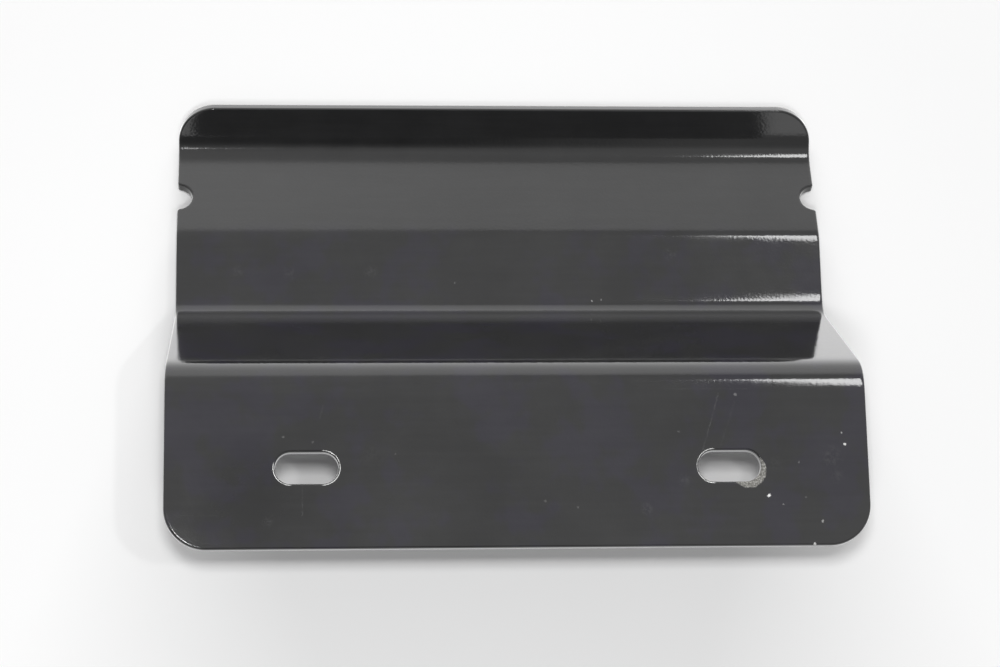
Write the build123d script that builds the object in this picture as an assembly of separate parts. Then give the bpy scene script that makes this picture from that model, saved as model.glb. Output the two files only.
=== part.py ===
from build123d import *
from math import cos, radians, sin
import os

# Stepped bracket, folded from one flat steel blank and powder coated.
#
# A slotted plate is bolted down. From its upper edge a web steps down to a ledge that
# runs parallel to the plate, the flare beyond the ledge leans further away, and a short
# lip turns back up along its end.
#
# Frame, in millimetres: the origin is the middle of the slot pattern on the plate's
# back face. +Z is the plate's front normal, +X runs along the width, and +Y runs from
# the plate's free edge towards the lip.

# The sheet and its folds
width = 200.0            # across the whole bracket
sheet = 3.0              # thickness of the coated sheet
inside_radius = 7.5      # on the hollow side of every fold
rim_radius = 0.6         # rounded-over front rims of the outline, slots and notches
burr_radius = 0.25       # softened back rims

# The slotted plate, measured along it from the slots' centre line
edge_margin = 23.0       # to the free edge
plate_reach = 29.0       # to the sharp corner of the first fold, on the front face
plate_corner = 12.0      # radius of the two free corners

# The two bolt slots
slot_spacing = 120.0     # centre to centre
slot_length = 18.0       # end to end
slot_width = 9.0

# The folded profile: each length runs between the sharp corners of the front face
step_height = 56.0       # front face of the plate to the front face of the ledge
web_angle = 62.0         # the web's slope against the plate
ledge_length = 24.5
flare_angle = 20.0       # the flare's slope against the ledge
flare_length = 33.0
lip_angle = 62.0         # turn of the lip out of the flare
lip_length = 14.0
lip_corner = 11.5        # radius of its two free corners

# The half-round notches in the flare's side edges
notch_radius = 4.5
notch_place = 14.5       # from the ledge's far corner, along the flare
notch_mouth = 1.0        # rounding where the notch meets the side edge


def heading(fall):
    """Unit direction along a panel that falls by this angle against the plate."""
    return Vector(0, cos(radians(fall)), -sin(radians(fall)))


def facing(fall):
    """Unit normal of that panel's front face."""
    return Vector(0, sin(radians(fall)), cos(radians(fall)))


# The panels in order along the sheet: how far each falls against the plate, and its length
falls = [0.0, web_angle, 0.0, flare_angle, flare_angle - lip_angle]
web_length = step_height / sin(radians(web_angle))
lengths = [edge_margin + plate_reach, web_length, ledge_length, flare_length, lip_length]

# Sharp corners of the front face, and those of the back face one sheet behind
front_corners = [Vector(0, -edge_margin, sheet)]
for fall, length in zip(falls, lengths):
    front_corners.append(front_corners[-1] + heading(fall) * length)


def behind(corner, before, after):
    """The back face's corner opposite a front corner between two panels."""
    middle = facing(before) + facing(after)
    return corner - middle * (sheet / (1 + facing(before).dot(facing(after))))


# A free end is square, so it counts as a corner between a panel and itself
falls_before = [falls[0], *falls]
falls_after = [*falls, falls[-1]]
back_corners = [
    behind(corner, before, after)
    for corner, before, after in zip(front_corners, falls_before, falls_after)
]

# A fold that turns away from the front is hollow at the back, and the other way round
outside_radius = inside_radius + sheet
turns_away = [after > before for before, after in zip(falls[:-1], falls[1:])]
front_radii = [outside_radius if away else inside_radius for away in turns_away]
back_radii = [inside_radius if away else outside_radius for away in turns_away]
front_line = FilletPolyline(*front_corners, radius=front_radii)
back_line = FilletPolyline(*back_corners, radius=back_radii)
plate_end = Line(front_corners[0], back_corners[0])
lip_end = Line(front_corners[-1], back_corners[-1])
section = make_face([*front_line.edges(), *back_line.edges(), plate_end, lip_end])
bracket = extrude(section, amount=width / 2, dir=(1, 0, 0), both=True)


def panel_plane(point, fall):
    """Sketch plane on a panel's front face: x along the width, y along the panel."""
    return Plane(origin=point, x_dir=(1, 0, 0), z_dir=facing(fall))


def punch(plane, outline):
    """Tool for an outline cut square through the sheet from a panel's front face."""
    return extrude(plane * outline, amount=2 * sheet, both=True)


def corner_waste(radius):
    """What rounding removes from a square corner at the origin, on the +X +Y side."""
    square = Rectangle(radius, radius, align=(Align.MAX, Align.MAX))
    return square - Pos(-radius, -radius) * Circle(radius)


# Bolt slots, punched through the plate
plate_plane = panel_plane(Vector(0, 0, sheet), falls[0])
slot = SlotOverall(slot_length, slot_width)
for side in (-1, 1):
    bracket -= punch(plate_plane, Pos(side * slot_spacing / 2, 0) * slot)

# Round corners at both free ends: turned half round, the same waste trims the other side
lip_plane = panel_plane(front_corners[-1], falls[-1])
lip_waste = Pos(width / 2, 0) * corner_waste(lip_corner)
plate_waste = Pos(width / 2, -edge_margin) * mirror(corner_waste(plate_corner), Plane.XZ)
for tool in (punch(lip_plane, lip_waste), punch(plate_plane, plate_waste)):
    bracket -= tool
    bracket -= mirror(tool, Plane.YZ)

# Notches: half a round hole in each side edge of the flare, with its mouth rounded
flare_plane = panel_plane(front_corners[3], falls[3])
for side in (-1, 1):
    bracket -= punch(flare_plane, Pos(side * width / 2, notch_place) * Circle(notch_radius))
through_flare = Axis(origin=(0, 0, 0), direction=facing(flare_angle))
mouth_edges = [
    edge
    for edge in bracket.edges().filter_by(through_flare)
    if abs(abs(edge.center().X) - width / 2) < notch_mouth / 10
]
bracket = fillet(mouth_edges, notch_mouth)


def on_skin(face, skin):
    """Whether a face lies on the side of the sheet that this profile line draws."""
    point = face.position_at(0.5, 0.5)
    return skin.distance_to(Vector(0, point.Y, point.Z)) < sheet / 100


def rim(skin):
    """Edges where that side of the sheet meets a cut face, without its fold lines."""
    faces = [face for face in bracket.faces() if on_skin(face, skin)]
    edges = [edge for face in faces for edge in face.edges()]
    return [edge for edge in edges if sum(edge.is_same(other) for other in edges) == 1]


# The punch leaves a soft roll round every front rim, and the back rims are deburred
for skin, radius in ((front_line, rim_radius), (back_line, burr_radius)):
    bracket = fillet(rim(skin), radius)

os.makedirs("parts", exist_ok=True)
export_step(bracket, "parts/bracket.step")
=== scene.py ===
import bmesh
import bpy
import numpy as np
from mathutils import Matrix, Vector


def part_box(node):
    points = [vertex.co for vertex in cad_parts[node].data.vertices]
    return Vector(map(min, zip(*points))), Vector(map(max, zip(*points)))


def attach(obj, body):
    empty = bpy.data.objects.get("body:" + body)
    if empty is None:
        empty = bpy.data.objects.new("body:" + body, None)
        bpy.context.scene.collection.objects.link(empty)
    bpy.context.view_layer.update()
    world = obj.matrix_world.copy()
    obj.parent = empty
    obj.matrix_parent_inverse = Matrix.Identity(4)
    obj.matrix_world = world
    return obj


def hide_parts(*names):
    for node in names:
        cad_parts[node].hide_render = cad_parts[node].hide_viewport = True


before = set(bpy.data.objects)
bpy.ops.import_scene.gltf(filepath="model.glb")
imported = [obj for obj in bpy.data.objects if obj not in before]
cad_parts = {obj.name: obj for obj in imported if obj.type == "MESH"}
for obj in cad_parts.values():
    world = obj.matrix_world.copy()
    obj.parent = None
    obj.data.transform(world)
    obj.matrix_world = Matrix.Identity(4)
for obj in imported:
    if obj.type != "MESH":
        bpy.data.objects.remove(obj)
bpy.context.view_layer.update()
print("frame loaded")

# In metres in the part's frame, with the lens in millimetres
camera = {
    "place": (-0.058145, -0.134046, 0.737983),
    "looking": (0.0704444, 0.2281973, -0.9710631),
    "upward": (0.0019858, 0.9734475, 0.2289017),
    "lens": 95.335,
    "clip": (0.01, 20.0),
}


# Turn whose local x, y and z point along right, up and backwards
def facingTurn(looking, upward):
    back = -Vector(looking).normalized()
    right = Vector(upward).cross(back).normalized()
    return Matrix((right, back.cross(right), back)).transposed().to_4x4()


def makeCamera(c):
    data = bpy.data.cameras.new("studioCamera")
    data.lens = c["lens"]
    data.clip_start, data.clip_end = c["clip"]
    eye = bpy.data.objects.new("studioCamera", data)
    eye.matrix_world = Matrix.Translation(c["place"]) @ facingTurn(c["looking"], c["upward"])
    bpy.context.scene.collection.objects.link(eye)
    bpy.context.scene.camera = eye


makeCamera(camera)
print("camera set")


# A socket of a node tree, with the arithmetic that patterns are written in
class Sock:
    def __init__(self, finish, link):
        self.finish = finish
        self.link = link

    def math(self, kind, *others, clamp=False):
        values = dict(enumerate((self, *others)))
        return self.finish.node("ShaderNodeMath", {"operation": kind, "use_clamp": clamp}, values)

    def __add__(self, other):
        return self.math("ADD", other)

    def __sub__(self, other):
        return self.math("SUBTRACT", other)

    def __mul__(self, other):
        return self.math("MULTIPLY", other)

    def __rsub__(self, other):
        return (self * -1.0) + other


# The node tree of a material or world, whose nodes all come from one method: type,
# settings first, then what each socket holds or is linked to
class Finish:
    def __init__(self, owner):
        owner.use_nodes = True
        self.owner = owner
        self.tree = owner.node_tree
        self.tree.nodes.clear()

    def node(self, kind, settings=None, sockets=None, out=0):
        made = self.tree.nodes.new(kind)
        for name, value in (settings or {}).items():
            setattr(made, name, value)
        for name, value in (sockets or {}).items():
            if isinstance(value, Sock):
                self.tree.links.new(value.link, made.inputs[name])
            else:
                made.inputs[name].default_value = value
        return Sock(self, made.outputs[out]) if len(made.outputs) else made

    def vector(self, kind, a, b, out=0):
        return self.node("ShaderNodeVectorMath", {"operation": kind}, {0: a, 1: b}, out)

    def split(self, vector):
        made = self.node("ShaderNodeSeparateXYZ", None, {0: vector})
        return [Sock(self, out) for out in made.link.node.outputs]

    # 0 below low, 1 above high, smooth between
    def step(self, value, low, high):
        return self.node(
            "ShaderNodeMapRange",
            {"interpolation_type": "SMOOTHSTEP"},
            {"Value": value, "From Min": low, "From Max": high},
        )

    def noise(self, place, size, detail=2.0, roughness=0.5, seed=0.0, out=0):
        sockets = {
            "Vector": place, "W": seed, "Scale": 1 / size, "Detail": detail, "Roughness": roughness,
        }
        return self.node("ShaderNodeTexNoise", {"noise_dimensions": "4D"}, sockets, out)

    def blend(self, amount, a, b):
        sockets = {"Factor": amount, 6: a, 7: b}
        return self.node("ShaderNodeMix", {"data_type": "RGBA"}, sockets, 2)

    def finish(self, shader):
        self.node("ShaderNodeOutputMaterial", None, {"Surface": shader})
        return self.owner


# Metres and degrees
bracket = {
    "width": 0.200,
    "thickness": 0.003,
    "foldRadius": 0.0075,                                  # tightest, on the sheet's middle
    "foldFades": (0.0013, 0.0013, 0.0005, 0.0013),         # how slowly each fold dies away
    "falls": (0.0, 62.0, 0.0, 20.0, -42.0),                # panel by panel
    "stepHeight": 0.056,                                   # that the second panel climbs
    "plateLength": 0.052,                                  # between the sharp front corners
    "lengths": (0.0245, 0.033, 0.014),                     # the same for the last three panels
    "freeEdge": -0.023,
    "plateCorner": 0.012,
    "lipCorner": 0.0115,
    "frontRim": 0.0006,
    "backRim": 0.00025,
    "slotSpacing": 0.120,
    "slotLength": 0.018,
    "slotWidth": 0.009,
    "notchRadius": 0.0045,
    "notchPlace": 0.0145,
    "notchMouth": 0.001,
}

# How closely the surface is drawn
fineness = {
    "samples": 4000,                                       # of a running sum over one fold
    "foldSpan": 0.02,                                      # further out a fold is straight
    "foldReach": (0.007, 0.012),                           # fine up to the first, coarse past both
    "pitches": (0.00035, 0.002),                           # fine and coarse, along the sheet
    "slotPitches": (0.0003, 0.0008),                       # the same beside the slots
    "slotMargin": 0.004,                                   # of the rings drawn round a slot
    "slotRings": (0.0, 0.1, 0.3, 0.5, 0.75, 1.0),          # shares of that margin
    # Pitch of the columns and their gap at both ends: between the slots, over one, past it
    "columns": ((0.004, 0.001), (0.001, 0.0008), (0.0025, 0.0005)),
    "plateCorner": 24,                                     # steps of each arc
    "mouth": 8,
    "notch": 36,
    "lipCorner": 60,
    "rimRoll": 6,
    "wallEnds": (1.25, 1.32),                              # of a rim's wall, in its rolls' radii
}


# The sheet's middle line. A fold's bend is flat-topped and dies away into both panels: one
# over the radius, divided by 1 + e to the power of (distance from the fold's middle - core)
# / fade. The heading is its running sum, and the place that of the heading's cosine and sine
class FoldLine:
    def __init__(self, b, f):
        falls = np.radians(b["falls"])
        webLength = b["stepHeight"] / np.sin(falls[1])
        lengths = np.array([b["plateLength"], webLength, *b["lengths"]])
        turns = np.diff(falls)
        fades, radius = np.array(b["foldFades"]), b["foldRadius"]
        cores = fades * np.log(np.exp(np.abs(turns) * radius / (2 * fades)) - 1)

        def bend(along, middle, core, fade):
            return 1 / radius / (1 + np.exp((np.abs(along - middle) - core) / fade))

        # What the corner saves: its two legs less the curve, for half a fold
        far = np.linspace(-f["foldSpan"], f["foldSpan"], f["samples"] + 1)
        self.saved = np.zeros(len(turns))
        for i, turn in enumerate(np.abs(turns)):
            heading = self.runningSum(bend(far, 0.0, cores[i], fades[i]), far)
            x = self.runningSum(np.cos(heading), far)[-1]
            y = self.runningSum(np.sin(heading), far)[-1]
            self.saved[i] = np.hypot(x, y) / (2 * np.cos(turn / 2)) - far[-1]
        self.saved += np.sign(turns) * b["thickness"] / 2 * np.tan(np.abs(turns) / 2)
        pieces = lengths - np.append(0, self.saved) - np.append(self.saved, 0)
        self.folds = np.cumsum(pieces)[:-1]
        self.total = pieces.sum()
        self.along = np.linspace(0, self.total, len(lengths) * f["samples"] + 1)
        bends = [
            np.sign(turn) * bend(self.along, *fold)
            for turn, *fold in zip(turns, self.folds, cores, fades)
        ]
        self.fall = self.runningSum(np.sum(bends, 0), self.along)
        self.y = b["freeEdge"] + self.runningSum(np.cos(self.fall), self.along)
        self.z = b["thickness"] / 2 - self.runningSum(np.sin(self.fall), self.along)

    def runningSum(self, rate, along):
        return np.append(0, np.cumsum((rate[1:] + rate[:-1]) / 2 * np.diff(along)))

    # Blank place (across, along, height over the middle) to the folded place: the middle
    # line's place there, and the height along the normal that its fall gives
    def fold(self, across, along, height):
        lines = (self.fall, self.y, self.z)
        fall, y, z = (np.interp(along, self.along, line) for line in lines)
        return np.stack([across, y + height * np.sin(fall), z + height * np.cos(fall)], 1)

    # Stations from first to last whose pitch goes from fine to coarse with the distance
    # from the nearest fold: equal steps of the running sum of one over the pitch
    def stations(self, f, first, last, pitches):
        along = np.linspace(first, last, f["samples"] + 1)
        near = np.min(np.abs(along[:, None] - self.folds[None, :]), 1)
        pitch = np.interp(near, f["foldReach"], pitches)
        count = self.runningSum(1 / pitch, along)
        steps = max(2, int(np.ceil(count[-1])))
        return np.interp(np.linspace(0, count[-1], steps + 1), count, along)


# Arc of a contour round a centre, with its outward normals; swell -1 is a hollow arc
def arc(centre, radius, first, last, steps, swell=1.0):
    angle = np.radians(np.linspace(first, last, steps + 1))
    normal = np.stack([np.cos(angle), np.sin(angle)], 1)
    return centre + radius * normal, swell * normal


# Stations between two ends, with one more at the guard's distance from each end
def stations(first, last, pitch, guard):
    steps = max(2, int(np.ceil((last - first) / pitch)))
    inner = np.linspace(first, last, steps + 1)
    return np.unique(np.concatenate([inner, [first + guard, last - guard]]))


# Both ends, along the sheet, of the block of the grid that the slots' rings replace
def slotBlock(b, f):
    reach = b["slotWidth"] / 2 + f["slotMargin"]
    return -b["freeEdge"] - reach, -b["freeEdge"] + reach


# Right-hand side of the blank from the free edge to the lip's end, as places and outward
# normals: corner arc, straight side, rounded mouth, half-round notch, mouth, straight side,
# corner arc
def sideContour(b, f, line):
    half = b["width"] / 2
    notch = line.folds[2] + b["notchPlace"] - line.saved[2]
    # A mouth's arc touches both the straight side and the notch's round
    drop = np.sqrt((b["notchRadius"] + b["notchMouth"]) ** 2 - b["notchMouth"] ** 2)
    lean = np.degrees(np.arctan2(drop, b["notchMouth"]))
    mouth = half - b["notchMouth"]
    blockStart, blockEnd = slotBlock(b, f)
    lipStart = line.total - b["lipCorner"]
    plateSide = [
        line.stations(f, b["plateCorner"], blockStart, f["pitches"]),
        line.stations(f, blockStart, blockEnd, f["slotPitches"]),
        line.stations(f, blockEnd, notch - drop, f["pitches"]),
    ]
    lipSide = [line.stations(f, notch + drop, lipStart, f["pitches"])]

    def straight(pieces):
        along = np.unique(np.concatenate(pieces).round(8))[1:-1]
        point = np.stack([np.full_like(along, half), along], 1)
        return point, np.tile([1.0, 0.0], (len(along), 1))

    plateMiddle = [half - b["plateCorner"], b["plateCorner"]]
    lipMiddle = [half - b["lipCorner"], lipStart]
    pieces = [
        arc(plateMiddle, b["plateCorner"], -90, 0, f["plateCorner"]),
        straight(plateSide),
        arc([mouth, notch - drop], b["notchMouth"], 0, lean, f["mouth"]),
        arc([half, notch], b["notchRadius"], lean - 180, -180 - lean, f["notch"], -1.0),
        arc([mouth, notch + drop], b["notchMouth"], -lean, 0, f["mouth"]),
        straight(lipSide),
        arc(lipMiddle, b["lipCorner"], 0, 90, f["lipCorner"]),
    ]
    point = np.concatenate([p for p, n in pieces])
    normal = np.concatenate([n for p, n in pieces])
    apart = np.append(True, np.hypot(*np.diff(point, axis=0).T) > 1e-7)
    return point[apart], normal[apart]


# Rim profile as insets and heights: a quarter round at the front, a straight wall whose two
# places keep it flat, and a smaller quarter round behind in half as many steps
def rimProfile(b, f):
    half = b["thickness"] / 2
    turn = np.radians(np.linspace(0, 90, f["rimRoll"] + 1))
    front, back = b["frontRim"], b["backRim"]
    inset = np.concatenate([front * (1 - np.sin(turn)), [0, 0], back * (1 - np.cos(turn[::2]))])
    height = np.concatenate([
        half - front * (1 - np.cos(turn)),
        [half - f["wallEnds"][0] * front, f["wallEnds"][1] * back - half],
        back * (1 - np.sin(turn[::2])) - half,
    ])
    return inset, height


def gridFaces(rows, columns, closed=False):
    number = np.arange(rows * columns).reshape(rows, columns)
    if closed:
        number = np.concatenate([number, number[:1]])
    return np.stack([number[:-1, :-1], number[:-1, 1:], number[1:, 1:], number[1:, :-1]], 2)


# Columns across the blank as shares of its half width, with those of a slot block's ends
def columnPlaces(b, f):
    half = b["width"] / 2
    reach = b["slotLength"] / 2 + f["slotMargin"]
    ends = (0.0, b["slotSpacing"] / 2 - reach, b["slotSpacing"] / 2 + reach, half)
    right = np.concatenate([
        stations(first, last, pitch, guard)
        for first, last, (pitch, guard) in zip(ends[:-1], ends[1:], f["columns"])
    ])
    right = np.unique(right.round(9)) / half
    return np.unique(np.concatenate([-right, right])), ends[1] / half, ends[2] / half


# The places once round the edge of a block of the grid
def blockBorder(block):
    return np.concatenate([block[0, :-1], block[:-1, -1], block[-1, :0:-1], block[:0:-1, 0]])


def nearest(places, wanted):
    return int(np.argmin(np.abs(places - wanted)))


# Front and back skin, slots and rim of the blank, each as places and faces. A skin is the
# side's contour, moved in by the rim, times the shares of the columns
def sheetParts(b, f, line):
    side, sideNormal = sideContour(b, f, line)
    columns, near, far = columnPlaces(b, f)
    low, high = (nearest(side[:, 1], end) for end in slotBlock(b, f))
    slots = [
        {
            "across": way * b["slotSpacing"] / 2,
            "along": -b["freeEdge"],
            "straight": (b["slotLength"] - b["slotWidth"]) / 2,
            "radius": b["slotWidth"] / 2,
            "ends": sorted((nearest(columns, way * near), nearest(columns, way * far))),
            "borders": [],
        }
        for way in (-1, 1)
    ]
    parts = []
    for inset, height in ((b["frontRim"], b["thickness"] / 2), (b["backRim"], -b["thickness"] / 2)):
        edge = side - inset * sideNormal
        across = columns[None, :] * edge[:, :1]
        along = np.broadcast_to(edge[:, 1:], across.shape)
        grid = np.stack([across, along, np.full_like(across, height)], 2)
        faces = gridFaces(*across.shape)
        kept = np.ones(faces.shape[:2], bool)
        for slot in slots:
            left, right = slot["ends"]
            kept[low:high, left:right] = False
            slot["borders"].append(blockBorder(grid[low:high + 1, left:right + 1]))
            rings = slotRings(slot, inset, f["slotRings"])
            parts.append((rings, gridFaces(*rings.shape[:2], closed=True)))
        parts.append((grid, faces[kept]))
    profile = rimProfile(b, f)
    for slot in slots:
        wall = slotWall(slot, *profile)
        parts.append((wall, gridFaces(*wall.shape[:2], closed=True)))
    rim = outerRim(side, sideNormal, columns, line.total, *profile)
    parts.append((rim, gridFaces(*rim.shape[:2], closed=True)))
    return parts


# The rim profile carried once round the outline, moved in along the outline's normals
def outerRim(side, sideNormal, columns, total, insets, heights):
    inner = columns[1:-1]
    count = len(inner)
    ends = np.stack([inner * side[0, 0], np.zeros(count)], 1)
    tops = np.stack([inner[::-1] * side[-1, 0], np.full(count, total)], 1)
    flip = np.array([-1.0, 1.0])
    loop = np.concatenate([ends, side, tops, side[::-1] * flip])
    outward = np.concatenate([
        np.tile([0.0, -1.0], (count, 1)), sideNormal,
        np.tile([0.0, 1.0], (count, 1)), sideNormal[::-1] * flip,
    ])
    rim = loop[:, None, :] - insets[None, :, None] * outward[:, None, :]
    tall = np.broadcast_to(heights[None, :, None], (*rim.shape[:2], 1))
    return np.concatenate([rim, tall], 2)


# Nearest place on the slot's middle segment to each border place, and the direction there
def slotReach(slot, border):
    offset = np.clip(border[:, 0] - slot["across"], -slot["straight"], slot["straight"])
    middle = np.stack([slot["across"] + offset, np.full(len(border), slot["along"])], 1)
    reach = border[:, :2] - middle
    return middle, reach / np.linalg.norm(reach, axis=1, keepdims=True)


# Rings between a slot and the block round it: a straight blend from one to the other
def slotRings(slot, inset, shares):
    border = slot["borders"][-1]
    middle, reach = slotReach(slot, border)
    inner = middle + (slot["radius"] + inset) * reach
    share = np.array(shares)[None, :, None]
    flat = inner[:, None, :] * (1 - share) + border[:, None, :2] * share
    tall = np.broadcast_to(border[:, None, 2:], (*flat.shape[:2], 1))
    return np.concatenate([flat, tall], 2)


# The rim profile carried round a slot, from the front skin's border to the back skin's
def slotWall(slot, insets, heights):
    front, back = (
        middle[:, None, :] + (slot["radius"] + insets[None, :, None]) * reach[:, None, :]
        for middle, reach in (slotReach(slot, border) for border in slot["borders"])
    )
    share = np.linspace(0, 1, len(insets))[None, :, None]
    flat = front * (1 - share) + back * share
    tall = np.broadcast_to(heights[None, :, None], (*flat.shape[:2], 1))
    return np.concatenate([flat, tall], 2)


# Joins the parts where their places agree to a tenth of a micrometre
def weld(parts):
    places = np.concatenate([p.reshape(-1, 3) for p, f in parts])
    first = np.cumsum([0] + [p.size // 3 for p, f in parts[:-1]])
    faces = np.concatenate([f.reshape(-1, 4) + n for (p, f), n in zip(parts, first)])
    tenths = 1e7
    key = (places * tenths).round().astype(np.int64)
    unused, keep, joined = np.unique(key, axis=0, return_index=True, return_inverse=True)
    used, faces = np.unique(joined.ravel()[faces], return_inverse=True)
    return places[keep][used], faces.reshape(-1, 4)


def makeBracket(b, f):
    line = FoldLine(b, f)
    blank, faces = weld(sheetParts(b, f, line))
    mesh = bpy.data.meshes.new("bracketSkin")
    mesh.from_pydata(line.fold(*blank.T).tolist(), [], faces.tolist())
    shell = bmesh.new()
    shell.from_mesh(mesh)
    bmesh.ops.recalc_face_normals(shell, faces=shell.faces)
    shell.to_mesh(mesh)
    shell.free()
    mesh.polygons.foreach_set("use_smooth", np.ones(len(mesh.polygons), bool))
    mesh.update()
    piece = bpy.data.objects.new("bracketSkin", mesh)
    bpy.context.scene.collection.objects.link(piece)
    print("bracket surface", len(mesh.vertices), "places", len(mesh.polygons), "faces")
    return piece


# Sizes in millimetres, colours linear
coat = {
    "colour": (0.0185, 0.0186, 0.0190, 1),
    "cool": (0.0015, 0.0, 0.0085),       # added where the coat looks bluish
    "coolEnd": (90.0, 80.0),             # how far up the bracket that goes
    "coolMost": 0.8,
    "swing": (0.86, 1.16),               # darkest and palest shade of the colour
    "swingParts": (0.5, 0.25, 0.25),     # of clouds, haze and drag
    "dragStretch": (0.06, 1.0, 1.0),
    # The next colour is the white of the specks and of the slots' rim line, which is painted
    # highlight and partly worn coat
    "chalkAndHighlight": (0.80, 0.80, 0.79, 1),      # white specks and worn lines
    "dust": (0.060, 0.060, 0.062, 1),    # smudges and dry scratches
    "primer": (0.080, 0.078, 0.070, 1),
    "bareMetal": (0.46, 0.455, 0.43, 1),
    "roughness": (0.07, 0.13),
    "rougher": (0.5, 0.15, 0.3),         # more on bare metal, dust and specks
    "tear": 1.1,                         # how far the marks' outlines wander
    "relief": (2.8e-6, 1.6e-5),          # metres, of the orange peel and the grain
    "chipDepth": (5e-5, 6e-5),           # metres, of the chip and of its crust
    # Patterns: size, detail, roughness and seed
    "clouds": (26.0, 3.0, 0.6, 2.0),
    "haze": (7.0, 4.0, 0.65, 5.0),
    "drag": (1.6, 2.0, 0.5, 7.0),
    "blue": (22.0, 3.0, 0.7, 11.0),
    "torn": (0.55, 2.0, 0.6, 8.0),
    "crumbs": (1.1, 3.0, 0.7, 4.0),
    "beads": (1.4, 2.0, 0.6, 9.0),
    "crust": (0.5, 3.0, 0.75, 6.0),
    "rimLineBreaks": (1.2, 2.0, 0.6, 12.0),
    "peel": (0.0018, 1.0, 0.4, 1.0),     # this and the next in metres
    "grain": (0.0008, 1.0, 0.5, 3.0),
    # Where a pattern starts to show and where it is full
    "edges": {
        "swing": (0.36, 0.66), "blue": (0.47, 0.58), "crumbs": (0.40, 0.66),
        "beads": (0.38, 0.60), "crust": (0.40, 0.70), "rimLineBreaks": (0.34, 0.52),
        "roughness": (0.3, 0.75),
    },
}

# Places in millimetres in the part's frame: the plate's front is at z = 3, the ledge's at -53
marks = {
    # place, radius, strength
    "specks": (
        ((70.95, -8.67, 3.0), 0.62, 1.0), ((74.88, -11.28, 3.0), 0.32, 0.22),
        ((85.92, -16.21, 3.0), 0.42, 0.30), ((92.51, 9.25, 3.0), 0.36, 0.32),
        ((93.28, 5.99, 3.0), 0.45, 0.75), ((83.39, -22.68, 2.9), 0.50, 0.65),
        ((79.86, 0.90, 3.0), 0.38, 0.10), ((27.94, 61.97, -53.0), 0.40, 0.40),
        ((30.81, 62.41, -53.0), 0.32, 0.28), ((-14.40, 67.87, -53.0), 0.45, 0.10),
        ((16.32, -11.64, 3.0), 0.40, 0.07), ((7.16, -9.87, 3.0), 0.40, 0.06),
        ((-35.0, 3.9, 3.0), 0.35, 0.05), ((-66.6, 8.9, 3.0), 0.45, 0.09),
        ((-58.3, 7.4, 3.0), 0.45, 0.06), ((62.2, 20.6, 3.0), 0.55, 0.13),
        ((81.5, -9.3, 3.0), 0.40, 0.06), ((45.6, 9.9, 3.0), 0.40, 0.06),
    ),
    "smudges": (
        ((35.9, -12.3, 3.0), 2.6, 0.55), ((47.0, -4.1, 3.0), 2.6, 0.40),
        ((89.4, 2.5, 3.0), 4.5, 0.45), ((90.5, -3.0, 3.0), 3.0, 0.30),
        ((72.5, 0.9, 3.0), 3.5, 0.20), ((-81.1, 71.7, -53.0), 3.0, 0.35),
        ((-65.3, 70.9, -53.0), 3.0, 0.35), ((-40.3, 71.4, -53.0), 3.0, 0.35),
        ((52.7, 77.1, -53.0), 3.0, 0.35), ((-55.9, 34.1, -6.6), 2.0, 0.45),
        ((-41.9, 3.9, 3.0), 6.0, 0.12), ((-70.8, -15.3, 3.0), 2.2, 0.30),
    ),
    # first place, last place, half-width, strength
    "scratches": (
        ((57.5, 21.1, 3.0), (52.4, 4.5, 3.0), 0.30, 0.55),
        ((62.0, 18.5, 3.0), (57.6, 6.0, 3.0), 0.45, 0.16),
        ((-61.2, -5.1, 3.0), (-61.2, -13.4, 3.0), 0.30, 0.55),
        ((-55.3, 17.9, 3.0), (-56.3, 14.2, 3.0), 0.35, 0.22),
        ((-71.9, -15.2, 3.0), (-69.9, -15.2, 3.0), 0.28, 0.40),
        ((-97.0, -13.2, 3.0), (-85.0, -13.5, 3.0), 0.25, 0.18),
        ((42.0, 22.4, 3.0), (66.0, 22.3, 3.0), 0.22, 0.25),
        ((40.0, 24.9, 3.0), (62.0, 24.9, 3.0), 0.22, 0.20),
    ),
    "scratchLeast": 0.2,                 # strength left between a scratch's beads
    # place, radius, what it adds to the coat's colour
    "shades": (
        ((-75.0, -5.0, 3.0), 22.0, -0.0065), ((-30.0, -13.0, 3.0), 26.0, 0.0060),
        ((62.0, 16.0, 3.0), 38.0, -0.0045), ((86.0, -2.0, 3.0), 26.0, -0.0025),
        ((20.0, -20.0, 3.0), 24.0, 0.0030), ((50.0, 72.0, -53.0), 26.0, -0.0025),
    ),
    # The disc of lost coat round the right slot's end: place, radius, strength, softness.
    # Then where it ends, by the distance from the slot's wall, above and inside
    "chip": ((65.35, -1.35, 3.0), 5.2, 1.0, 0.07),
    "chipWall": (-0.1, 0.1),
    "chipTop": (2.6, 1.6),
    "chipFront": (2.2, 2.6),
    # The slots, and the bright line round their outer ends, painted highlight on the rounded rim
    # that is partly worn coat: its two sides, by their distance from the slot's wall, and where it
    # ends on the front, along a slot and on each slot
    "slotMiddle": 60.0,
    "slotRadius": 4.5,
    "rimLineSides": ((0.28, 0.40), (0.60, 0.46)),
    "rimLineFront": (1.2, 1.8),
    "rimLineAlong": (4.0, 5.2),
    "rimLineRight": (60.0, 58.0),
    "rimLineGap": ((-62.0, -65.0), (0.5, 2.0)),
    "rimLineLeast": 0.35,
}


# One sum, or the greatest, of many masks
def gather(kind, masks):
    total = masks[0]
    for mask in masks[1:]:
        total = total.math(kind, mask)
    return total


# Strength times a soft ball round a place
def ball(m, spot, place, radius, strength, soft=0.5):
    away = m.vector("DISTANCE", spot, place, 1)
    return m.step(away, radius, radius * (1 - soft)) * strength


# Strength times a soft line between two places
def stroke(m, spot, first, last, radius, strength, core=0.2):
    run = np.subtract(last, first)
    lead = m.vector("SUBTRACT", spot, first)
    share = m.vector("DOT_PRODUCT", lead, tuple(run / (run @ run)), 1).math("ADD", 0.0, clamp=True)
    away = m.vector("DISTANCE", lead, m.vector("MULTIPLY", share, tuple(run)), 1)
    return m.step(away, radius, core * radius) * strength


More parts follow.
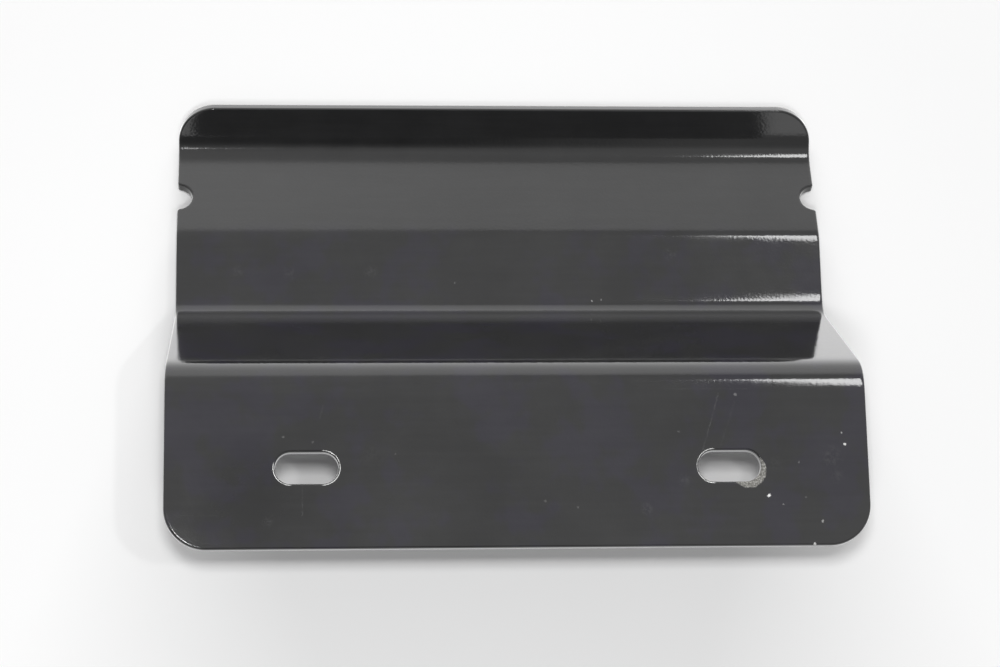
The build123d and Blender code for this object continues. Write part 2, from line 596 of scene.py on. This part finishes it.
# Slow changes of shade, a fine sideways drag and bluish patches
def coatShade(m, spot, y, clouds, haze, c, k):
    drag = m.noise(m.vector("MULTIPLY", spot, c["dragStretch"]), *c["drag"])
    parts = [p * share for p, share in zip((clouds, haze, drag), c["swingParts"])]
    lightness = m.step(gather("ADD", parts), *c["edges"]["swing"])
    darker, paler = (tuple(v * n for v in c["colour"][:3]) + (1,) for n in c["swing"])
    shades = gather("ADD", [
        ball(m, spot, at, radius, amount, 1.0) for at, radius, amount in k["shades"]
    ])
    colour = m.vector("ADD", m.blend(lightness, darker, paler), shades)
    blue = m.step(m.noise(spot, *c["blue"]), *c["edges"]["blue"])
    blue = blue * m.step(y, *c["coolEnd"]) * c["coolMost"]
    return m.vector("ADD", colour, m.vector("MULTIPLY", blue, c["cool"]))


# Masks of dust that the patterns break up, and of white specks with torn outlines
def coatDirt(m, spot, ragged, c, k):
    crumbs = m.step(m.noise(spot, *c["crumbs"]), *c["edges"]["crumbs"])
    smudge = gather("MAXIMUM", [
        ball(m, ragged, at, radius, strength, 1.0) for at, radius, strength in k["smudges"]
    ])
    beads = m.step(m.noise(spot, *c["beads"]), *c["edges"]["beads"])
    beads = beads * (1 - k["scratchLeast"]) + k["scratchLeast"]
    scratch = gather("MAXIMUM", [stroke(m, ragged, *line) for line in k["scratches"]])
    dusty = (smudge * crumbs).math("MAXIMUM", scratch * beads, clamp=True)
    return dusty, gather("MAXIMUM", [ball(m, ragged, *speck) for speck in k["specks"]])


# Masks of the coat lost round the right slot's lower end, and of a bright line round the
# slots' ends, painted highlight on the rounded rim that is partly worn coat, from a place's
# distance to the nearest slot's wall
def coatChipAndRimLine(m, spot, ragged, c, k):
    x, y, z = m.split(spot)
    aside = (x.math("ABSOLUTE") - k["slotMiddle"]).math("ABSOLUTE")
    beyond = (aside - k["slotRadius"]).math("MAXIMUM", 0.0)
    away = m.node("ShaderNodeCombineXYZ", None, {0: beyond, 1: y})
    fromWall = m.vector("LENGTH", away, (0, 0, 0), 1) - k["slotRadius"]
    chip = ball(m, ragged, *k["chip"]) * m.step(fromWall, *k["chipWall"])
    chip = chip * m.step(y, *k["chipTop"]) * m.step(z, *k["chipFront"])
    inner, outer = k["rimLineSides"]
    rimWearAndHighlight = m.step(fromWall, *inner) * m.step(fromWall, *outer) * m.step(z, *k["rimLineFront"])
    rimWearAndHighlight = rimWearAndHighlight * m.step(aside, *k["rimLineAlong"]) * m.step(x, *k["rimLineRight"])
    gapX, gapY = k["rimLineGap"]
    rimWearAndHighlight = rimWearAndHighlight * (1.0 - m.step(x, *gapX) * m.step(y, *gapY))
    # Breaks the painted rim highlight into flecks
    rimLineBreaks = m.step(m.noise(spot, *c["rimLineBreaks"]), *c["edges"]["rimLineBreaks"])
    return chip, rimWearAndHighlight * (rimLineBreaks * (1 - k["rimLineLeast"]) + k["rimLineLeast"])


def powderCoat(c, k):
    m = Finish(bpy.data.materials.new("powderCoat"))
    place = m.node("ShaderNodeTexCoord", out=3)
    millimetres = 1000.0
    spot = m.vector("MULTIPLY", place, (millimetres,) * 3)
    torn = m.vector("SUBTRACT", m.noise(spot, *c["torn"], out=1), (0.5, 0.5, 0.5))
    ragged = m.vector("ADD", spot, m.vector("MULTIPLY", torn, (c["tear"],) * 3))
    clouds = m.noise(spot, *c["clouds"])
    haze = m.noise(spot, *c["haze"])
    crust = m.noise(spot, *c["crust"])
    dusty, specks = coatDirt(m, spot, ragged, c, k)
    chip, rimWearAndHighlight = coatChipAndRimLine(m, spot, ragged, c, k)

    colour = coatShade(m, spot, m.split(spot)[1], clouds, haze, c, k)
    colour = m.blend(dusty, colour, c["dust"])
    colour = m.blend(specks, colour, c["chalkAndHighlight"])
    metal = m.blend(m.step(crust, *c["edges"]["crust"]), c["primer"], c["bareMetal"])
    colour = m.blend(chip, colour, metal)
    # Painted highlight on the slots' rounded rims, partly worn coat, in white
    colour = m.blend(rimWearAndHighlight, colour, c["chalkAndHighlight"])

    peelDepth, grainDepth = c["relief"]
    height = m.noise(place, *c["peel"]) * peelDepth + m.noise(place, *c["grain"]) * grainDepth
    chipDepth, crustDepth = c["chipDepth"]
    height = height - chip * (crust * crustDepth + chipDepth)
    bump = {"Height": height, "Distance": 1.0, "Strength": 1.0}
    normal = m.node("ShaderNodeBump", None, bump)

    smoothest, roughest = c["roughness"]
    rough = m.step(haze * 0.5 + clouds * 0.5, *c["edges"]["roughness"])
    rough = rough * (roughest - smoothest) + smoothest
    for mask, more in zip((chip, dusty, specks), c["rougher"]):
        rough = rough + mask * more
    return m.finish(m.node("ShaderNodeBsdfPrincipled", None, {
        "Base Color": colour, "Roughness": rough, "IOR": 1.5, "Normal": normal,
    }))


skin = makeBracket(bracket, fineness)
skin.data.materials.append(powderCoat(coat, marks))
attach(skin, "root")
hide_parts("bracket")
print("bracket made")

studio = {
    "floorColour": (0.95, 0.95, 0.95, 1),
    "floorSwing": 0.99,                  # darkest shade of that colour
    "floorMottle": 0.2,                  # size of the patches
    "floorSize": 1.6,
    "fadeStart": 0.13,                   # distances from the aim between which the floor
    "fadeEnd": 0.34,                     # runs out into white
    "worldFill": 0.22,                   # strength of the surroundings as light
    "aim": (0.0, 0.05, -0.03),           # that the cove and the lamps are placed round
    # Each lamp's place from the aim, to the camera's right, up and back towards it
    "lamps": {
        "keyLamp": {
            "place": (0, -0.125, 0.79), "size": (0.1, 0.1), "radiance": 36, "seenBy": "diffuse",
        },
        "fillLamp": {
            "place": (0, 0.05, 0.798), "size": (0.05, 0.05), "radiance": 320, "seenBy": "diffuse",
        },
        "slotLamp": {
            "place": (0.0645, 0, 0.511), "size": (0.012, 0.012), "radiance": 460,
            "seenBy": "diffuse",
        },
        "overLamp": {
            "place": (0, 1.76, 0.374), "size": (1.8, 1.4), "radiance": 3.2, "seenBy": "diffuse",
        },
        "streakLamp": {
            "place": (0.324, 0.58, 0.62), "size": (0.1, 0.24), "radiance": 15, "seenBy": "glossy",
        },
        "glintLamp": {
            "place": (-0.118, 0.165, 0.86), "size": (0.02, 0.13), "radiance": 65,
            "seenBy": "glossy",
        },
    },
    # Brightness of the cove round the bracket at its left, middle and right, by angle: 0
    # towards the camera, 90 overhead, 175 behind and below
    "coveGlow": {
        -90: (1.7, 1.7, 1.7), -51: (1.7, 1.7, 1.7), -48: (1.7, 0.0, 0.5), -45: (1.7, 0.0, 0.5),
        -42: (0.1, 0.0, 0.5), -22: (0.1, 0.0, 0.5), -12: (0.25, 0.1, 0.55), -3: (0.5, 0.25, 0.7),
        4: (0.7, 0.5, 0.9), 10: (0.8, 0.7, 1.0), 20: (0.9, 0.85, 1.0), 30: (1.0, 1.0, 1.0),
        60: (1.05, 0.9, 0.85), 64: (1.3, 0.85, 0.8), 67: (1.5, 0.95, 0.85),
        69.5: (2.0, 1.6, 1.55), 74: (2.1, 1.85, 1.7), 78: (2.1, 2.05, 2.1),
        110: (2.0, 2.0, 2.05), 125: (2.05, 2.1, 2.25), 175: (2.05, 2.1, 2.1),
    },
    "coveAcross": (-0.12, 0.10, 0.30),   # where its left, middle and right are
    "coveMiddle": (-0.5, 0.7),           # the stretch drawn in fine columns
    "coveRadius": 1.1,
    "coveHalfWidth": 1.6,
    "coveSteps": (530, 24),              # along the arc, and across the fine stretch
}


def makeFloor(s):
    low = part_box("bracket")[0].z
    half = s["floorSize"] / 2
    mesh = bpy.data.meshes.new("floor")
    corners = [(-half, -half, low), (half, -half, low), (half, half, low), (-half, half, low)]
    mesh.from_pydata(corners, [], [(0, 1, 2, 3)])
    floor = bpy.data.objects.new("floor", mesh)
    bpy.context.scene.collection.objects.link(floor)
    m = Finish(bpy.data.materials.new("floorPaper"))
    place = m.node("ShaderNodeTexCoord", out=3)
    darker = tuple(s["floorSwing"] * v for v in s["floorColour"][:3]) + (1,)
    tint = m.blend(m.noise(place, s["floorMottle"]), s["floorColour"], darker)
    paper = m.node("ShaderNodeBsdfDiffuse", None, {"Color": tint})
    # Far from the bracket the paper runs out into the white surroundings
    away = m.vector("DISTANCE", place, (s["aim"][0], s["aim"][1], low), 1)
    white = m.node("ShaderNodeEmission", None, {"Strength": 1.0})
    mix = {0: m.step(away, s["fadeStart"], s["fadeEnd"]), 1: paper, 2: white}
    mesh.materials.append(m.finish(m.node("ShaderNodeMixShader", None, mix)))
    floor.visible_glossy = False


# White for the eye, for gloss and through glass, and less as light
def makeWorld(s):
    m = Finish(bpy.data.worlds.new("studioWorld"))
    rays = ("Is Camera Ray", "Is Glossy Ray", "Is Transmission Ray")
    seen = gather("MAXIMUM", [m.node("ShaderNodeLightPath", out=ray) for ray in rays])
    strength = seen * (1 - s["worldFill"]) + s["worldFill"]
    light = m.node("ShaderNodeBackground", None, {"Color": (1, 1, 1, 1), "Strength": strength})
    m.node("ShaderNodeOutputWorld", None, {"Surface": light})
    bpy.context.scene.world = m.owner


# Unit directions of the camera: back to it, up and right
def cameraAxes():
    back = -Vector(camera["looking"]).normalized()
    up = Vector(camera["upward"]).normalized()
    return np.array(back), np.array(up), np.array(up.cross(back))


# Arc round the aim in the camera's upright plane, carried across it: the cosine of the
# angle goes back towards the camera and the sine up
def makeCove(s):
    back, up, right = cameraAxes()
    angles = list(s["coveGlow"])
    along, over = s["coveSteps"]
    angle = np.linspace(angles[0], angles[-1], along + 1)
    theta = np.radians(angle)[:, None, None]
    wide = s["coveHalfWidth"]
    across = np.concatenate([[-wide], np.linspace(*s["coveMiddle"], over + 1), [wide]])
    circle = s["coveRadius"] * (np.cos(theta) * back + np.sin(theta) * up)
    place = np.array(s["aim"]) + circle + across[None, :, None] * right
    levels = np.array(list(s["coveGlow"].values())).T
    rows = np.array([np.interp(angle, angles, level) for level in levels])
    share = np.interp(across, s["coveAcross"], (0, 1, 2))
    low = np.minimum(share.astype(int), 1)
    part = (share - low)[:, None]
    glow = (rows[low] * (1 - part) + rows[low + 1] * part).T
    mesh = bpy.data.meshes.new("cove")
    faces = gridFaces(*place.shape[:2]).reshape(-1, 4)
    mesh.from_pydata(place.reshape(-1, 3).tolist(), [], faces.tolist())
    layer = mesh.attributes.new("glow", "FLOAT", "POINT")
    layer.data.foreach_set("value", glow.ravel().astype(np.float32))
    cove = bpy.data.objects.new("cove", mesh)
    bpy.context.scene.collection.objects.link(cove)
    m = Finish(bpy.data.materials.new("coveLight"))
    shade = m.node("ShaderNodeAttribute", {"attribute_name": "glow"})
    mesh.materials.append(m.finish(m.node("ShaderNodeEmission", None, {"Color": shade})))
    m.owner.cycles.emission_sampling = "NONE"
    for sight in ("camera", "diffuse", "shadow", "transmission"):
        setattr(cove, "visible_" + sight, False)


# A rectangular lamp turned to the aim, felt by one kind of ray. Its power is its radiance
# times pi times its area
def makeLamp(name, lamp, s):
    back, up, right = cameraAxes()
    aside, above, behind = lamp["place"]
    fromAim = Vector(aside * right + above * up + behind * back)
    data = bpy.data.lights.new(name, "AREA")
    data.shape = "RECTANGLE"
    data.size, data.size_y = lamp["size"]
    data.energy = lamp["radiance"] * np.pi * data.size * data.size_y
    made = bpy.data.objects.new(name, data)
    made.matrix_world = Matrix.Translation(Vector(s["aim"]) + fromAim) @ facingTurn(-fromAim, up)
    bpy.context.scene.collection.objects.link(made)
    for sight in ("camera", "diffuse", "glossy"):
        setattr(made, "visible_" + sight, sight == lamp["seenBy"])


makeFloor(studio)
makeWorld(studio)
makeCove(studio)
for name, lamp in studio["lamps"].items():
    makeLamp(name, lamp, studio)
print("studio lit")

bpy.context.scene.view_settings.view_transform = "Standard"
